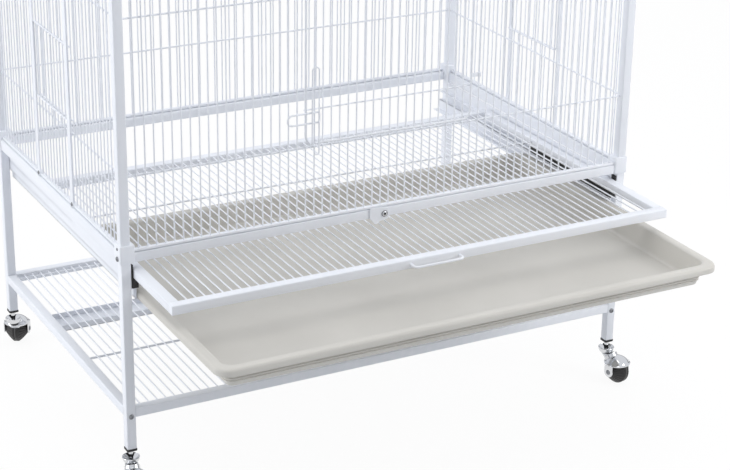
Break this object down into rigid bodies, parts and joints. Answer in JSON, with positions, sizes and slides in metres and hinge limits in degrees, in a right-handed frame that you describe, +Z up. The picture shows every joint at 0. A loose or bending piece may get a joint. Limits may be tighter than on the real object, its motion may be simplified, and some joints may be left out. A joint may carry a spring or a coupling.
{
  "type": "bird aviary",
  "caption": "Wire flight cage on a wheeled stand with a lower shelf, front door, side feeder doors, and a floor grate and droppings tray that slide out at the front.",
  "frame": {"origin": "on the floor, under the middle of the outline with the tray drawn out", "axes": "+X to the right along the front, +Y to the back, +Z up"},
  "size_m": [0.9876, 0.962, 1.524],
  "materials": {
    "powder_coated_steel": "satin powder coat",
    "chrome_plated_steel": "polished",
    "zinc_plated_steel": "plain plated",
    "black_plastic": "moulded",
    "wheel_plastic": "moulded",
    "tray_plastic": "vacuum formed"
  },
  "bodies": {
    "stand_and_cage": {"leg_front_left": "powder_coated_steel", "leg_front_right": "powder_coated_steel", "leg_rear_left": "powder_coated_steel", "leg_rear_right": "powder_coated_steel", "post_front_left": "powder_coated_steel", "post_front_right": "powder_coated_steel", "post_rear_left": "powder_coated_steel", "post_rear_right": "powder_coated_steel", "corner_blocks": "powder_coated_steel", "front_rail": "powder_coated_steel", "rear_rail": "powder_coated_steel", "left_rail": "powder_coated_steel", "right_rail": "powder_coated_steel", "left_runner": "powder_coated_steel", "right_runner": "powder_coated_steel", "shelf_frame": "powder_coated_steel", "shelf_wires": "powder_coated_steel", "front_panel": "powder_coated_steel", "rear_panel": "powder_coated_steel", "left_panel": "powder_coated_steel", "right_panel": "powder_coated_steel", "left_strips": "powder_coated_steel", "right_strips": "powder_coated_steel", "roof_frame": "powder_coated_steel", "roof_wires": "powder_coated_steel", "leg_end_caps": "black_plastic", "post_caps": "black_plastic", "left_glide": "black_plastic", "right_glide": "black_plastic", "corner_bolts": "zinc_plated_steel", "shelf_bolts": "zinc_plated_steel", "strip_screws": "zinc_plated_steel", "swing_tab_bolt": "zinc_plated_steel", "caster_stems": "chrome_plated_steel"},
    "grate": {"grate_frame": "powder_coated_steel", "grate_wires": "powder_coated_steel", "grate_handle": "powder_coated_steel"},
    "tray": {"tray": "tray_plastic"},
    "front_door": {"front_door_frame": "powder_coated_steel", "front_door_wires": "powder_coated_steel", "door_hinge_eyes": "powder_coated_steel", "door_latch_guide": "powder_coated_steel"},
    "door_latch": {"door_latch_loop": "powder_coated_steel"},
    "left_feeder": {"left_feeder_door": "powder_coated_steel"},
    "right_feeder": {"right_feeder_door": "powder_coated_steel"},
    "swing_tab": {"swing_tab": "powder_coated_steel"},
    "caster_front_left": {"caster_hood_front_left": "chrome_plated_steel", "caster_axle_front_left": "chrome_plated_steel"},
    "wheel_front_left": {"caster_wheel_front_left": "wheel_plastic"},
    "caster_front_right": {"caster_hood_front_right": "chrome_plated_steel", "caster_axle_front_right": "chrome_plated_steel"},
    "wheel_front_right": {"caster_wheel_front_right": "wheel_plastic"},
    "caster_rear_left": {"caster_hood_rear_left": "chrome_plated_steel", "caster_axle_rear_left": "chrome_plated_steel"},
    "wheel_rear_left": {"caster_wheel_rear_left": "wheel_plastic"},
    "caster_rear_right": {"caster_hood_rear_right": "chrome_plated_steel", "caster_axle_rear_right": "chrome_plated_steel"},
    "wheel_rear_right": {"caster_wheel_rear_right": "wheel_plastic"}
  },
  "joints": [
    {"name": "grate_slide", "type": "slide", "parent": "stand_and_cage", "child": "grate", "axis": [0, 1, 0], "range_m": [-0.3, 0.154]},
    {"name": "tray_slide", "type": "slide", "parent": "stand_and_cage", "child": "tray", "axis": [0, 1, 0], "range_m": [-0.15, 0.314]},
    {"name": "front_door_hinge", "type": "hinge", "parent": "stand_and_cage", "child": "front_door", "pos_m": [0.16647, -0.16203, 0.788], "axis": [0, 0, 1], "range_deg": [0, 150]},
    {"name": "door_latch_slide", "type": "slide", "parent": "front_door", "child": "door_latch", "axis": [1, 0, 0], "range_m": [0, 0.03]},
    {"name": "left_feeder_lift", "type": "slide", "parent": "stand_and_cage", "child": "left_feeder", "axis": [0, 0, 1], "range_m": [0, 0.115]},
    {"name": "right_feeder_lift", "type": "slide", "parent": "stand_and_cage", "child": "right_feeder", "axis": [0, 0, 1], "range_m": [0, 0.115]},
    {"name": "swing_tab_pivot", "type": "hinge", "parent": "stand_and_cage", "child": "swing_tab", "pos_m": [-0.01, -0.16833, 0.4064], "axis": [0, 1, 0], "range_deg": [0, 100]},
    {"name": "caster_swivel_front_left", "type": "hinge", "parent": "stand_and_cage", "child": "caster_front_left", "pos_m": [-0.462, -0.15902, 0.05], "axis": [0, 0, 1], "continuous": true},
    {"name": "wheel_spin_front_left", "type": "hinge", "parent": "caster_front_left", "child": "wheel_front_left", "pos_m": [-0.46877, -0.18619, 0.025], "axis": [0.9703, -0.2419, 0], "continuous": true},
    {"name": "caster_swivel_front_right", "type": "hinge", "parent": "stand_and_cage", "child": "caster_front_right", "pos_m": [0.462, -0.15902, 0.05], "axis": [0, 0, 1], "continuous": true},
    {"name": "wheel_spin_front_right", "type": "hinge", "parent": "caster_front_right", "child": "wheel_front_right", "pos_m": [0.46877, -0.18619, 0.025], "axis": [0.9703, 0.2419, 0], "continuous": true},
    {"name": "caster_swivel_rear_left", "type": "hinge", "parent": "stand_and_cage", "child": "caster_rear_left", "pos_m": [-0.462, 0.43297, 0.05], "axis": [0, 0, 1], "continuous": true},
    {"name": "wheel_spin_rear_left", "type": "hinge", "parent": "caster_rear_left", "child": "wheel_rear_left", "pos_m": [-0.448, 0.45722, 0.025], "axis": [-0.866, 0.5, 0], "continuous": true},
    {"name": "caster_swivel_rear_right", "type": "hinge", "parent": "stand_and_cage", "child": "caster_rear_right", "pos_m": [0.462, 0.43297, 0.05], "axis": [0, 0, 1], "continuous": true},
    {"name": "wheel_spin_rear_right", "type": "hinge", "parent": "caster_rear_right", "child": "wheel_rear_right", "pos_m": [0.448, 0.45722, 0.025], "axis": [-0.866, -0.5, 0], "continuous": true}
  ]
}
